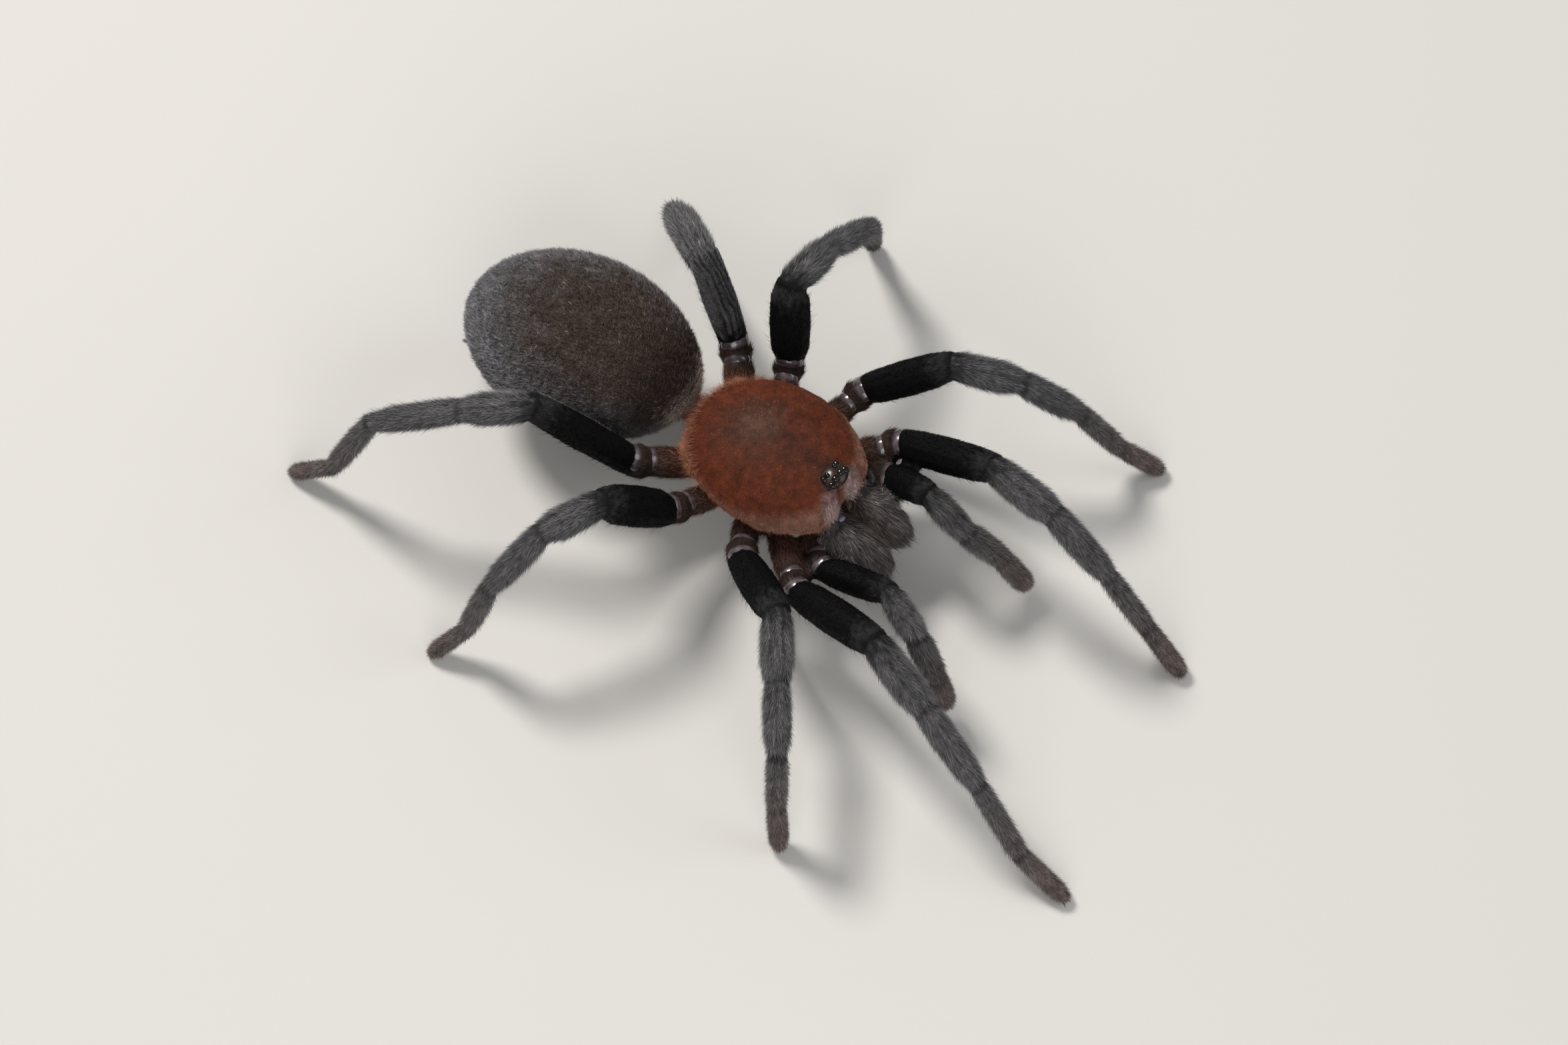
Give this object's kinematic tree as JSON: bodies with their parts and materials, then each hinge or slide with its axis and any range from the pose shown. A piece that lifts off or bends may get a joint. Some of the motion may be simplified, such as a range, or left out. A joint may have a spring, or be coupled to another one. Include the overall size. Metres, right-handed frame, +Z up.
{
  "type": "tarantula",
  "caption": "Life-size ground tarantula standing still: rust carapace, black thighs, slate grey legs and a dark furred hind body.",
  "frame": {"origin": "on the floor, under the middle of the model's box", "axes": "+Z up, the animal faces -Y, and its left side is +X"},
  "size_m": [0.0606, 0.0838, 0.0219],
  "materials": {
    "rust_coat": "short velvety hair, red-brown",
    "hind_coat": "short dense fur, grey-brown",
    "grey_coat": "long combed hair, grey",
    "slate_coat": "combed hair, slate grey",
    "black_coat": "velvet hair, jet black",
    "brown_shell": "smooth shell, dark brown, half gloss",
    "fang": "polished black",
    "eye": "wet black"
  },
  "bodies": {
    "root": {"abdomen": "hind_coat", "carapace": "rust_coat", "chelicera_left": "grey_coat", "chelicera_right": "grey_coat", "eye_left_back_middle": "eye", "eye_left_back_side": "eye", "eye_left_front_middle": "eye", "eye_left_front_side": "eye", "eye_right_back_middle": "eye", "eye_right_back_side": "eye", "eye_right_front_middle": "eye", "eye_right_front_side": "eye", "fang_left": "fang", "fang_right": "fang", "leg_left_1_femur": "black_coat", "leg_left_1_foot": "slate_coat", "leg_left_1_hip": "brown_shell", "leg_left_1_shin": "slate_coat", "leg_left_2_femur": "black_coat", "leg_left_2_foot": "slate_coat", "leg_left_2_hip": "brown_shell", "leg_left_2_shin": "slate_coat", "leg_left_3_femur": "black_coat", "leg_left_3_foot": "slate_coat", "leg_left_3_hip": "brown_shell", "leg_left_3_shin": "slate_coat", "leg_left_4_femur": "black_coat", "leg_left_4_foot": "slate_coat", "leg_left_4_hip": "brown_shell", "leg_left_4_shin": "slate_coat", "leg_right_1_femur": "black_coat", "leg_right_1_foot": "slate_coat", "leg_right_1_hip": "brown_shell", "leg_right_1_shin": "slate_coat", "leg_right_2_femur": "black_coat", "leg_right_2_foot": "slate_coat", "leg_right_2_hip": "brown_shell", "leg_right_2_shin": "slate_coat", "leg_right_3_femur": "black_coat", "leg_right_3_foot": "slate_coat", "leg_right_3_hip": "brown_shell", "leg_right_3_shin": "slate_coat", "leg_right_4_femur": "black_coat", "leg_right_4_foot": "slate_coat", "leg_right_4_hip": "brown_shell", "leg_right_4_shin": "slate_coat", "palp_left_femur": "black_coat", "palp_left_hip": "brown_shell", "palp_left_patella": "slate_coat", "palp_left_tarsus": "slate_coat", "palp_right_femur": "black_coat", "palp_right_hip": "brown_shell", "palp_right_patella": "slate_coat", "palp_right_tarsus": "slate_coat", "spinneret_left": "hind_coat", "spinneret_right": "hind_coat", "sternum": "brown_shell"}
  },
  "joints": []
}
